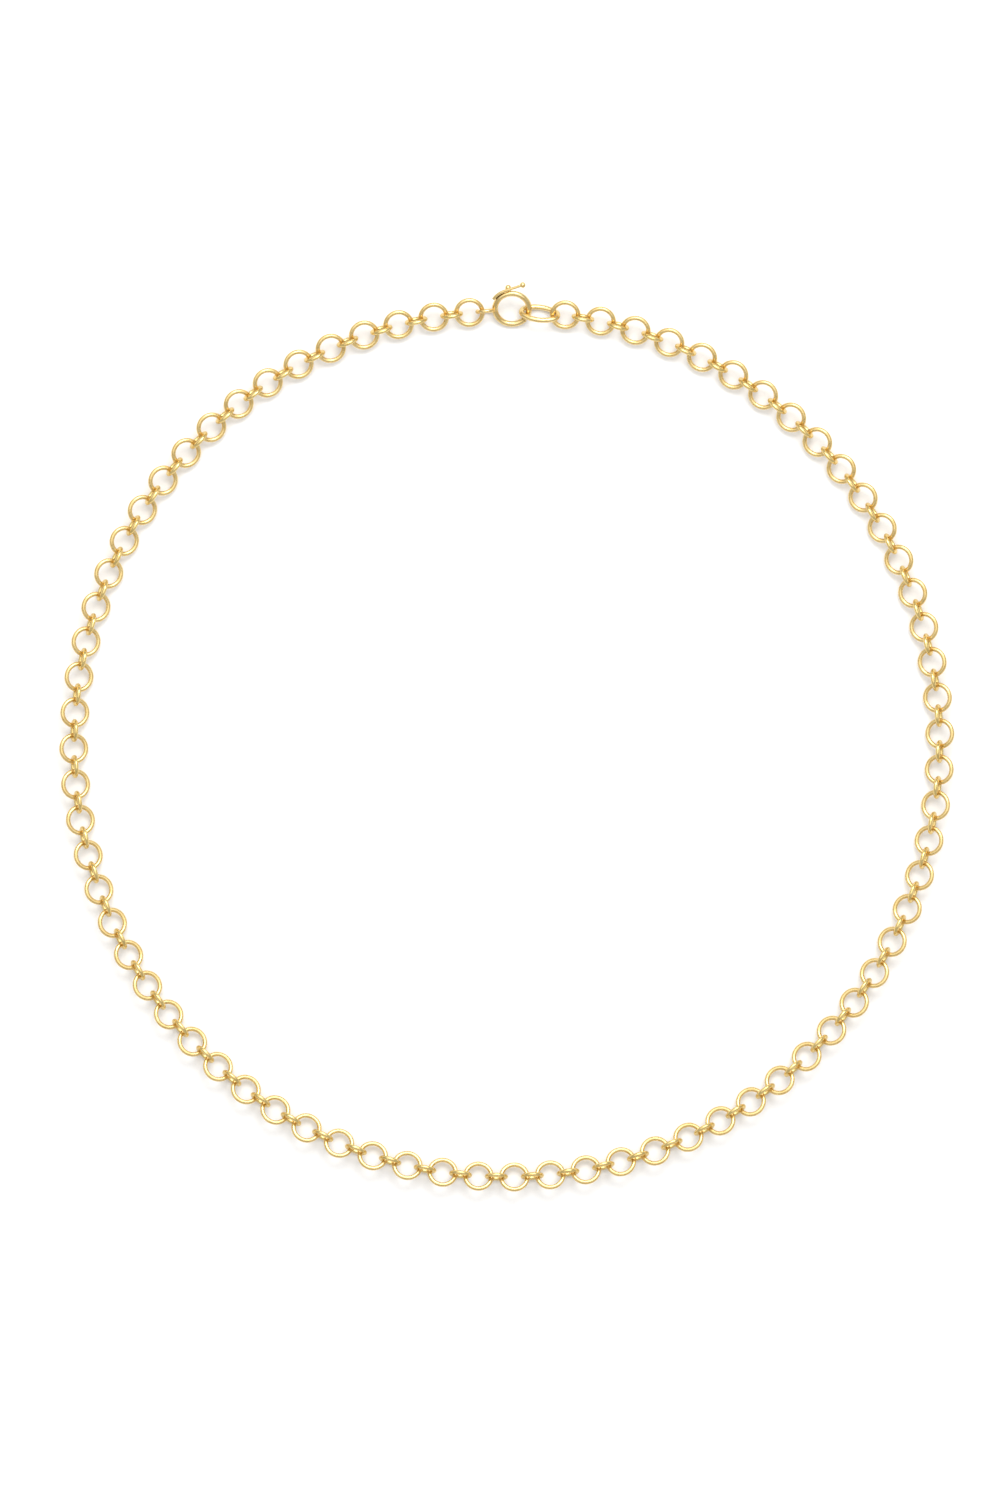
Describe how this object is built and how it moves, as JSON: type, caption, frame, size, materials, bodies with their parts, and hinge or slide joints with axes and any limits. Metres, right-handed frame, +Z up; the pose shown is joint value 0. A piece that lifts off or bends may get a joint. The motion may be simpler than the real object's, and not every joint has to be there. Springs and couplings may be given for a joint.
{
  "type": "chain necklace",
  "caption": "Closed chain necklace of large round links lying nearly flat, joined by smaller links on edge, with a bolt-ring clasp and an oval end link.",
  "frame": {"origin": "middle of the loop, on the surface that the necklace lies on", "axes": "+Z up from the surface, +Y from the middle of the loop to the clasp, +X to the right seen from above with the clasp at the top"},
  "size_m": [0.1502, 0.1526, 0.005],
  "materials": {
    "large_link_gold": "soft polished yellow gold",
    "small_link_gold": "soft polished yellow gold",
    "clasp_gold": "polished yellow gold",
    "spring_steel": "drawn spring wire"
  },
  "bodies": {
    "front": {"front_rings": "large_link_gold", "front_connector": "small_link_gold"},
    "left_01": {"left_rings_01": "large_link_gold", "left_connectors_01": "small_link_gold"},
    "left_02": {"left_rings_02": "large_link_gold", "left_connectors_02": "small_link_gold"},
    "left_03": {"left_rings_03": "large_link_gold", "left_connectors_03": "small_link_gold"},
    "left_04": {"left_rings_04": "large_link_gold", "left_connectors_04": "small_link_gold"},
    "left_05": {"left_rings_05": "large_link_gold", "left_connectors_05": "small_link_gold"},
    "left_06": {"left_rings_06": "large_link_gold", "left_connectors_06": "small_link_gold"},
    "left_07": {"left_rings_07": "large_link_gold", "left_connectors_07": "small_link_gold"},
    "left_08": {"left_rings_08": "large_link_gold", "left_connectors_08": "small_link_gold"},
    "left_09": {"left_rings_09": "large_link_gold", "left_connectors_09": "small_link_gold"},
    "left_10": {"left_rings_10": "large_link_gold", "left_connectors_10": "small_link_gold"},
    "left_11": {"left_rings_11": "large_link_gold", "left_connectors_11": "small_link_gold"},
    "left_12": {"left_rings_12": "large_link_gold", "left_connectors_12": "small_link_gold"},
    "right_01": {"right_rings_01": "large_link_gold", "right_connectors_01": "small_link_gold"},
    "right_02": {"right_rings_02": "large_link_gold", "right_connectors_02": "small_link_gold"},
    "right_03": {"right_rings_03": "large_link_gold", "right_connectors_03": "small_link_gold"},
    "right_04": {"right_rings_04": "large_link_gold", "right_connectors_04": "small_link_gold"},
    "right_05": {"right_rings_05": "large_link_gold", "right_connectors_05": "small_link_gold"},
    "right_06": {"right_rings_06": "large_link_gold", "right_connectors_06": "small_link_gold"},
    "right_07": {"right_rings_07": "large_link_gold", "right_connectors_07": "small_link_gold"},
    "right_08": {"right_rings_08": "large_link_gold", "right_connectors_08": "small_link_gold"},
    "right_09": {"right_rings_09": "large_link_gold", "right_connectors_09": "small_link_gold"},
    "right_10": {"right_rings_10": "large_link_gold", "right_connectors_10": "small_link_gold"},
    "right_11": {"right_rings_11": "large_link_gold", "right_connectors_11": "small_link_gold"},
    "right_12": {"right_rings_12": "large_link_gold", "right_connectors_12": "small_link_gold"},
    "clasp": {"clasp_ring": "clasp_gold", "clasp_eye": "clasp_gold", "thumb_ball": "clasp_gold", "spring_plug": "clasp_gold", "bolt_spring": "spring_steel"},
    "trigger": {"bolt": "clasp_gold", "trigger_arm": "clasp_gold", "trigger_ball": "clasp_gold"},
    "end_link": {"end_link": "clasp_gold"}
  },
  "joints": [
    {"name": "left_fold_01", "type": "hinge", "parent": "front", "child": "left_01", "pos_m": [-0.00302, -0.0727, 0.00191], "axis": [0, 0, 1], "range_deg": [-6, 6]},
    {"name": "left_fold_02", "type": "hinge", "parent": "left_01", "child": "left_02", "pos_m": [-0.02085, -0.06971, 0.00191], "axis": [0, 0, 1], "range_deg": [-7.67, 7.67]},
    {"name": "left_fold_03", "type": "hinge", "parent": "left_02", "child": "left_03", "pos_m": [-0.03739, -0.06242, 0.00191], "axis": [0, 0, 1], "range_deg": [-6.83, 6.83]},
    {"name": "left_fold_04", "type": "hinge", "parent": "left_03", "child": "left_04", "pos_m": [-0.05163, -0.05127, 0.00191], "axis": [0, 0, 1], "range_deg": [-2.92, 2.92]},
    {"name": "left_fold_05", "type": "hinge", "parent": "left_04", "child": "left_05", "pos_m": [-0.06267, -0.03696, 0.00191], "axis": [0, 0, 1], "range_deg": [-3.88, 3.88]},
    {"name": "left_fold_06", "type": "hinge", "parent": "left_05", "child": "left_06", "pos_m": [-0.06985, -0.02037, 0.00191], "axis": [0, 0, 1], "range_deg": [-10.98, 10.98]},
    {"name": "left_fold_07", "type": "hinge", "parent": "left_06", "child": "left_07", "pos_m": [-0.07272, -0.00252, 0.00191], "axis": [0, 0, 1], "range_deg": [-15, 15]},
    {"name": "left_fold_08", "type": "hinge", "parent": "left_07", "child": "left_08", "pos_m": [-0.0711, 0.01548, 0.00191], "axis": [0, 0, 1], "range_deg": [-13.75, 13.75]},
    {"name": "left_fold_09", "type": "hinge", "parent": "left_08", "child": "left_09", "pos_m": [-0.06508, 0.03253, 0.00191], "axis": [0, 0, 1], "range_deg": [-7.47, 7.47]},
    {"name": "left_fold_10", "type": "hinge", "parent": "left_09", "child": "left_10", "pos_m": [-0.05506, 0.04757, 0.00191], "axis": [0, 0, 1], "range_deg": [-1.52, 1.52]},
    {"name": "left_fold_11", "type": "hinge", "parent": "left_10", "child": "left_11", "pos_m": [-0.04163, 0.05968, 0.00191], "axis": [0, 0, 1], "range_deg": [-9.96, 9.96]},
    {"name": "left_fold_12", "type": "hinge", "parent": "left_11", "child": "left_12", "pos_m": [-0.02563, 0.0681, 0.00191], "axis": [0, 0, 1], "range_deg": [-15, 15]},
    {"name": "right_fold_01", "type": "hinge", "parent": "front", "child": "right_01", "pos_m": [0.00302, -0.0727, 0.00191], "axis": [0, 0, 1], "range_deg": [-7.19, 7.19]},
    {"name": "right_fold_02", "type": "hinge", "parent": "right_01", "child": "right_02", "pos_m": [0.02085, -0.06971, 0.00191], "axis": [0, 0, 1], "range_deg": [-7.67, 7.67]},
    {"name": "right_fold_03", "type": "hinge", "parent": "right_02", "child": "right_03", "pos_m": [0.03739, -0.06242, 0.00191], "axis": [0, 0, 1], "range_deg": [-6.83, 6.83]},
    {"name": "right_fold_04", "type": "hinge", "parent": "right_03", "child": "right_04", "pos_m": [0.05163, -0.05127, 0.00191], "axis": [0, 0, 1], "range_deg": [-2.92, 2.92]},
    {"name": "right_fold_05", "type": "hinge", "parent": "right_04", "child": "right_05", "pos_m": [0.06267, -0.03696, 0.00191], "axis": [0, 0, 1], "range_deg": [-3.88, 3.88]},
    {"name": "right_fold_06", "type": "hinge", "parent": "right_05", "child": "right_06", "pos_m": [0.06985, -0.02037, 0.00191], "axis": [0, 0, 1], "range_deg": [-10.98, 10.98]},
    {"name": "right_fold_07", "type": "hinge", "parent": "right_06", "child": "right_07", "pos_m": [0.07272, -0.00252, 0.00191], "axis": [0, 0, 1], "range_deg": [-15, 15]},
    {"name": "right_fold_08", "type": "hinge", "parent": "right_07", "child": "right_08", "pos_m": [0.0711, 0.01548, 0.00191], "axis": [0, 0, 1], "range_deg": [-13.75, 13.75]},
    {"name": "right_fold_09", "type": "hinge", "parent": "right_08", "child": "right_09", "pos_m": [0.06508, 0.03253, 0.00191], "axis": [0, 0, 1], "range_deg": [-7.47, 7.47]},
    {"name": "right_fold_10", "type": "hinge", "parent": "right_09", "child": "right_10", "pos_m": [0.05506, 0.04757, 0.00191], "axis": [0, 0, 1], "range_deg": [-1.52, 1.52]},
    {"name": "right_fold_11", "type": "hinge", "parent": "right_10", "child": "right_11", "pos_m": [0.04163, 0.05968, 0.00191], "axis": [0, 0, 1], "range_deg": [-9.96, 9.96]},
    {"name": "right_fold_12", "type": "hinge", "parent": "right_11", "child": "right_12", "pos_m": [0.02563, 0.0681, 0.00191], "axis": [0, 0, 1], "range_deg": [-15, 15]},
    {"name": "clasp_swing", "type": "hinge", "parent": "left_12", "child": "clasp", "pos_m": [-0.00805, 0.07232, 0.00191], "axis": [0, 0, 1], "range_deg": [-4, 4]},
    {"name": "end_link_swing", "type": "hinge", "parent": "right_12", "child": "end_link", "pos_m": [0.00805, 0.07232, 0.00191], "axis": [0, 0, 1], "range_deg": [-6.1, 6.1]},
    {"name": "trigger_turn", "type": "hinge", "parent": "clasp", "child": "trigger", "pos_m": [-0.0009, 0.07312, 0.00191], "axis": [0, -0.4848, 0.8746], "range_deg": [0, 25], "stiffness_Nm_per_rad": 0.002, "deforming": ["bolt_spring"]}
  ],
  "couplings": [
    {"joint": "left_fold_02", "follows": "left_fold_01", "ratio": 1.0663},
    {"joint": "left_fold_03", "follows": "left_fold_01", "ratio": 0.9499},
    {"joint": "left_fold_04", "follows": "left_fold_01", "ratio": 0.4049},
    {"joint": "left_fold_05", "follows": "left_fold_01", "ratio": -0.539},
    {"joint": "left_fold_06", "follows": "left_fold_01", "ratio": -1.5267},
    {"joint": "left_fold_07", "follows": "left_fold_01", "ratio": -2.0851},
    {"joint": "left_fold_08", "follows": "left_fold_01", "ratio": -1.9122},
    {"joint": "left_fold_09", "follows": "left_fold_01", "ratio": -1.0387},
    {"joint": "left_fold_10", "follows": "left_fold_01", "ratio": 0.2107},
    {"joint": "left_fold_11", "follows": "left_fold_01", "ratio": 1.3849},
    {"joint": "left_fold_12", "follows": "left_fold_01", "ratio": 2.085},
    {"joint": "right_fold_01", "follows": "left_fold_01", "ratio": -1},
    {"joint": "right_fold_02", "follows": "left_fold_01", "ratio": -1.0663},
    {"joint": "right_fold_03", "follows": "left_fold_01", "ratio": -0.9499},
    {"joint": "right_fold_04", "follows": "left_fold_01", "ratio": -0.4049},
    {"joint": "right_fold_05", "follows": "left_fold_01", "ratio": 0.539},
    {"joint": "right_fold_06", "follows": "left_fold_01", "ratio": 1.5267},
    {"joint": "right_fold_07", "follows": "left_fold_01", "ratio": 2.0851},
    {"joint": "right_fold_08", "follows": "left_fold_01", "ratio": 1.9122},
    {"joint": "right_fold_09", "follows": "left_fold_01", "ratio": 1.0387},
    {"joint": "right_fold_10", "follows": "left_fold_01", "ratio": -0.2107},
    {"joint": "right_fold_11", "follows": "left_fold_01", "ratio": -1.3849},
    {"joint": "right_fold_12", "follows": "left_fold_01", "ratio": -2.085},
    {"joint": "end_link_swing", "follows": "clasp_swing", "ratio": -1.5}
  ]
}
